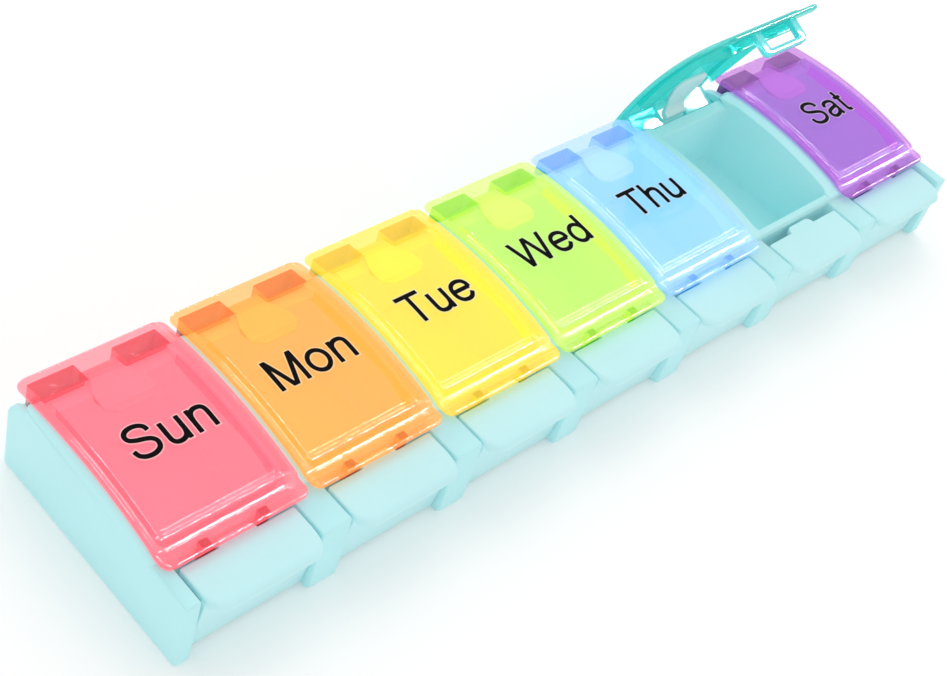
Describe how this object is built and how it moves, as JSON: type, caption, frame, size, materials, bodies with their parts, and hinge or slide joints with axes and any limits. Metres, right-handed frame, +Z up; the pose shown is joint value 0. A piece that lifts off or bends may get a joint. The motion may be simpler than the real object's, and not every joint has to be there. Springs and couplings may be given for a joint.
{
  "type": "travel pill organizer",
  "caption": "Long aqua pill tray divided into day compartments, each with an arched translucent coloured lid that springs open when its front push button is pressed.",
  "frame": {"origin": "middle of the underside, halfway between the front of the buttons and the back of the open lid", "axes": "+X along the tray from the first day to the last, +Y from the buttons to the hinges, +Z up"},
  "size_m": [0.2208, 0.0576, 0.0549],
  "materials": {
    "tray": "fine satin moulded polypropylene, pale aqua",
    "button": "smooth satin moulded plastic, lighter aqua",
    "spring": "thin milky aqua moulded plastic",
    "lid_sun": "glossy translucent tinted plastic",
    "lid_mon": "glossy translucent tinted plastic",
    "lid_tue": "glossy translucent tinted plastic",
    "lid_wed": "glossy translucent tinted plastic",
    "lid_thu": "glossy translucent tinted plastic",
    "lid_fri": "glossy translucent tinted plastic",
    "lid_sat": "glossy translucent tinted plastic"
  },
  "bodies": {
    "tray": {"base_tray": "tray"},
    "lid_sun": {"lid_sun": "lid_sun"},
    "spring_sun": {"spring_sun": "spring"},
    "button_sun": {"button_sun": "button"},
    "lid_mon": {"lid_mon": "lid_mon"},
    "spring_mon": {"spring_mon": "spring"},
    "button_mon": {"button_mon": "button"},
    "lid_tue": {"lid_tue": "lid_tue"},
    "spring_tue": {"spring_tue": "spring"},
    "button_tue": {"button_tue": "button"},
    "lid_wed": {"lid_wed": "lid_wed"},
    "spring_wed": {"spring_wed": "spring"},
    "button_wed": {"button_wed": "button"},
    "lid_thu": {"lid_thu": "lid_thu"},
    "spring_thu": {"spring_thu": "spring"},
    "button_thu": {"button_thu": "button"},
    "lid_fri": {"lid_fri": "lid_fri"},
    "spring_fri": {"spring_fri": "spring"},
    "button_fri": {"button_fri": "button"},
    "lid_sat": {"lid_sat": "lid_sat"},
    "spring_sat": {"spring_sat": "spring"},
    "button_sat": {"button_sat": "button"}
  },
  "joints": [
    {"name": "lid_sun_hinge", "type": "hinge", "parent": "tray", "child": "lid_sun", "pos_m": [-0.0945, 0.02256, 0.0155], "axis": [-1, 0, 0], "range_deg": [0, 86]},
    {"name": "spring_sun_flex", "type": "hinge", "parent": "tray", "child": "spring_sun", "pos_m": [-0.0945, 0.02256, 0.0182], "axis": [-1, 0, 0], "range_deg": [0, 94.6]},
    {"name": "button_sun_press", "type": "hinge", "parent": "tray", "child": "button_sun", "pos_m": [-0.0945, -0.02304, 0.0012], "axis": [1, 0, 0], "range_deg": [0, 6], "stiffness_Nm_per_rad": 0.06},
    {"name": "lid_mon_hinge", "type": "hinge", "parent": "tray", "child": "lid_mon", "pos_m": [-0.063, 0.02256, 0.0155], "axis": [-1, 0, 0], "range_deg": [0, 86]},
    {"name": "spring_mon_flex", "type": "hinge", "parent": "tray", "child": "spring_mon", "pos_m": [-0.063, 0.02256, 0.0182], "axis": [-1, 0, 0], "range_deg": [0, 94.6]},
    {"name": "button_mon_press", "type": "hinge", "parent": "tray", "child": "button_mon", "pos_m": [-0.063, -0.02304, 0.0012], "axis": [1, 0, 0], "range_deg": [0, 6], "stiffness_Nm_per_rad": 0.06},
    {"name": "lid_tue_hinge", "type": "hinge", "parent": "tray", "child": "lid_tue", "pos_m": [-0.0315, 0.02256, 0.0155], "axis": [-1, 0, 0], "range_deg": [0, 86]},
    {"name": "spring_tue_flex", "type": "hinge", "parent": "tray", "child": "spring_tue", "pos_m": [-0.0315, 0.02256, 0.0182], "axis": [-1, 0, 0], "range_deg": [0, 94.6]},
    {"name": "button_tue_press", "type": "hinge", "parent": "tray", "child": "button_tue", "pos_m": [-0.0315, -0.02304, 0.0012], "axis": [1, 0, 0], "range_deg": [0, 6], "stiffness_Nm_per_rad": 0.06},
    {"name": "lid_wed_hinge", "type": "hinge", "parent": "tray", "child": "lid_wed", "pos_m": [0, 0.02256, 0.0155], "axis": [-1, 0, 0], "range_deg": [0, 86]},
    {"name": "spring_wed_flex", "type": "hinge", "parent": "tray", "child": "spring_wed", "pos_m": [0, 0.02256, 0.0182], "axis": [-1, 0, 0], "range_deg": [0, 94.6]},
    {"name": "button_wed_press", "type": "hinge", "parent": "tray", "child": "button_wed", "pos_m": [0, -0.02304, 0.0012], "axis": [1, 0, 0], "range_deg": [0, 6], "stiffness_Nm_per_rad": 0.06},
    {"name": "lid_thu_hinge", "type": "hinge", "parent": "tray", "child": "lid_thu", "pos_m": [0.0315, 0.02256, 0.0155], "axis": [-1, 0, 0], "range_deg": [0, 86]},
    {"name": "spring_thu_flex", "type": "hinge", "parent": "tray", "child": "spring_thu", "pos_m": [0.0315, 0.02256, 0.0182], "axis": [-1, 0, 0], "range_deg": [0, 94.6]},
    {"name": "button_thu_press", "type": "hinge", "parent": "tray", "child": "button_thu", "pos_m": [0.0315, -0.02304, 0.0012], "axis": [1, 0, 0], "range_deg": [0, 6], "stiffness_Nm_per_rad": 0.06},
    {"name": "lid_fri_hinge", "type": "hinge", "parent": "tray", "child": "lid_fri", "pos_m": [0.063, 0.02256, 0.0155], "axis": [-1, 0, 0], "range_deg": [-65.8, 20.2], "stiffness_Nm_per_rad": 0.02},
    {"name": "spring_fri_flex", "type": "hinge", "parent": "tray", "child": "spring_fri", "pos_m": [0.063, 0.02256, 0.0182], "axis": [-1, 0, 0], "range_deg": [-72.38, 22.22]},
    {"name": "button_fri_press", "type": "hinge", "parent": "tray", "child": "button_fri", "pos_m": [0.063, -0.02304, 0.0012], "axis": [1, 0, 0], "range_deg": [0, 6], "stiffness_Nm_per_rad": 0.06},
    {"name": "lid_sat_hinge", "type": "hinge", "parent": "tray", "child": "lid_sat", "pos_m": [0.0945, 0.02256, 0.0155], "axis": [-1, 0, 0], "range_deg": [0, 86]},
    {"name": "spring_sat_flex", "type": "hinge", "parent": "tray", "child": "spring_sat", "pos_m": [0.0945, 0.02256, 0.0182], "axis": [-1, 0, 0], "range_deg": [0, 94.6]},
    {"name": "button_sat_press", "type": "hinge", "parent": "tray", "child": "button_sat", "pos_m": [0.0945, -0.02304, 0.0012], "axis": [1, 0, 0], "range_deg": [0, 6], "stiffness_Nm_per_rad": 0.06}
  ],
  "couplings": [
    {"joint": "spring_sun_flex", "follows": "lid_sun_hinge", "ratio": 1.1},
    {"joint": "spring_mon_flex", "follows": "lid_mon_hinge", "ratio": 1.1},
    {"joint": "spring_tue_flex", "follows": "lid_tue_hinge", "ratio": 1.1},
    {"joint": "spring_wed_flex", "follows": "lid_wed_hinge", "ratio": 1.1},
    {"joint": "spring_thu_flex", "follows": "lid_thu_hinge", "ratio": 1.1},
    {"joint": "spring_fri_flex", "follows": "lid_fri_hinge", "ratio": 1.1},
    {"joint": "spring_sat_flex", "follows": "lid_sat_hinge", "ratio": 1.1}
  ]
}
